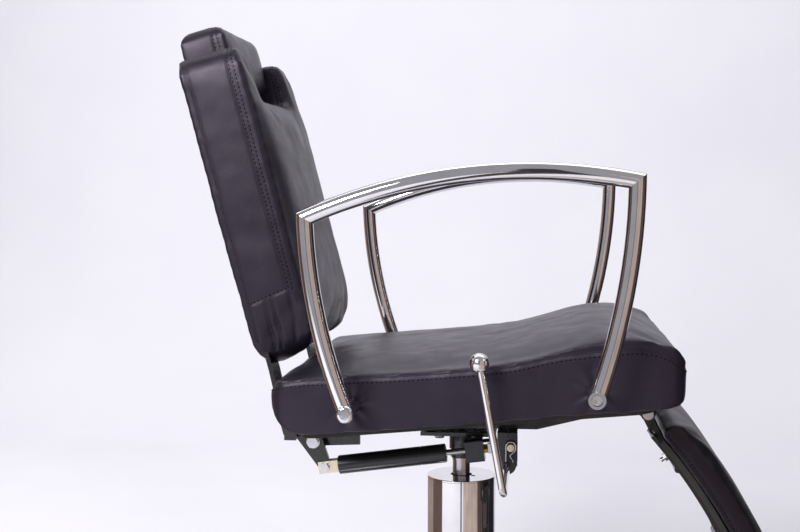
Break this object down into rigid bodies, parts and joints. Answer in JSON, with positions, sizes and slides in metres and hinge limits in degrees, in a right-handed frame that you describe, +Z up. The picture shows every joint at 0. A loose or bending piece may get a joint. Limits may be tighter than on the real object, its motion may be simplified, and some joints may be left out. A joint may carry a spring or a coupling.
{
  "type": "reclining styling chair",
  "caption": "Reclining salon chair with a black cushioned seat and back, loop armrests, a sliding headrest, a curved leg rest and a hydraulic pump on a round base.",
  "frame": {"origin": "centre of the base's underside, on the pump's axis, at floor level", "axes": "+X the way the sitter faces, +Y the sitter's left, +Z up along the pump"},
  "size_m": [0.9403, 0.632, 0.9593],
  "materials": {
    "chrome": "polished chrome plate",
    "black_steel": "gloss black powder coat",
    "cast_iron": "painted pump casting",
    "bright_steel": "ground and hard-chromed shaft",
    "zinc": "bright zinc-plated fasteners",
    "yellow_zinc": "yellow-passivated zinc plate",
    "brass": "yellow lock nut",
    "spring_paint": "semi-gloss black spring tube",
    "black_plastic": "moulded black plastic",
    "rubber": "ribbed black rubber",
    "leather": "black satin synthetic leather with fine grain",
    "plywood": "plywood under black lining cloth",
    "aluminium": "brushed foot plate"
  },
  "bodies": {
    "base": {"base_plate": "black_steel", "base_cover": "chrome", "base_collar": "black_plastic", "pump_cylinder": "cast_iron", "pump_bolts": "zinc", "pump_cover": "chrome", "pump_top_disc": "chrome", "pedal_pin": "bright_steel"},
    "pedal": {"pedal_arm": "black_steel", "pedal_pad": "rubber"},
    "piston": {"piston_rod": "bright_steel", "piston_ring": "bright_steel"},
    "seat": {"hub_socket": "black_steel", "hub_nuts": "zinc", "seat_frame": "black_steel", "seat_board": "plywood", "seat_cushion": "leather", "armrest_right": "chrome", "armrest_left": "chrome", "arm_bosses": "chrome", "arm_screws": "zinc", "arm_caps": "chrome", "pivot_bolts": "zinc", "front_bracket": "black_steel", "anchor_pin": "yellow_zinc", "hairpin_clip": "zinc", "legrest_hinge_bolts": "zinc"},
    "back": {"back_cushion": "leather", "back_board": "plywood", "back_panel": "leather", "back_uprights": "black_steel", "crank_plates": "black_steel", "headrest_guides": "black_plastic"},
    "headrest": {"headrest_pad": "leather", "headrest_posts": "bright_steel"},
    "spring_tube": {"spring_clevis": "yellow_zinc", "crank_bolt": "zinc", "spring_cylinder": "spring_paint"},
    "spring_stem": {"spring_rod": "bright_steel", "release_head": "spring_paint", "head_nut": "brass", "spring_eye": "zinc"},
    "button": {"release_button": "black_plastic"},
    "lever": {"lever_rod": "chrome", "lever_ball": "chrome", "release_finger": "black_plastic"},
    "legrest": {"legrest_frame": "black_steel", "legrest_board": "plywood", "legrest_bolts": "zinc", "legrest_pad": "leather", "footrest_tread": "aluminium", "footrest_strips": "rubber"}
  },
  "joints": [
    {"name": "pedal_press", "type": "hinge", "parent": "base", "child": "pedal", "pos_m": [-0.0405, 0, 0.072], "axis": [0, -1, 0], "range_deg": [0, 10], "stiffness_Nm_per_rad": 12, "springref_deg": -14.32},
    {"name": "pump_lift", "type": "slide", "parent": "base", "child": "piston", "axis": [0, 0, 1], "range_m": [-0.018, 0.13]},
    {"name": "seat_swivel", "type": "hinge", "parent": "piston", "child": "seat", "pos_m": [0, 0, 0.35], "axis": [0, 0, 1], "continuous": true},
    {"name": "recline", "type": "hinge", "parent": "seat", "child": "back", "pos_m": [-0.206, 0, 0.365], "axis": [0, -1, 0], "range_deg": [0, 50]},
    {"name": "headrest_slide", "type": "slide", "parent": "back", "child": "headrest", "axis": [-0.2605, 0, 0.9655], "range_m": [0, 0.08]},
    {"name": "spring_tube_swing", "type": "hinge", "parent": "back", "child": "spring_tube", "pos_m": [-0.189, -0.0985, 0.329], "axis": [0, -1, 0], "range_deg": [-60, 0]},
    {"name": "spring_stem_swing", "type": "hinge", "parent": "seat", "child": "spring_stem", "pos_m": [0.0757, -0.0985, 0.365], "axis": [0, -1, 0], "range_deg": [-8, 0]},
    {"name": "lever_turn", "type": "hinge", "parent": "seat", "child": "lever", "pos_m": [0.0705, -0.0985, 0.34], "axis": [0, -1, 0], "range_deg": [0, 12], "stiffness_Nm_per_rad": 6, "springref_deg": -11.46},
    {"name": "button_press", "type": "slide", "parent": "spring_stem", "child": "button", "axis": [-0.9909, 0, -0.1348], "range_m": [0, 0.006]},
    {"name": "legrest_swing", "type": "hinge", "parent": "seat", "child": "legrest", "pos_m": [0.266, 0, 0.412], "axis": [0, -1, 0], "range_deg": [0, 40]}
  ],
  "couplings": [
    {"joint": "spring_stem_swing", "follows": "recline", "ratio": -0.0979},
    {"joint": "spring_tube_swing", "follows": "recline", "ratio": -1.0979},
    {"joint": "button_press", "follows": "lever_turn", "m_per_rad": 0.02865}
  ]
}
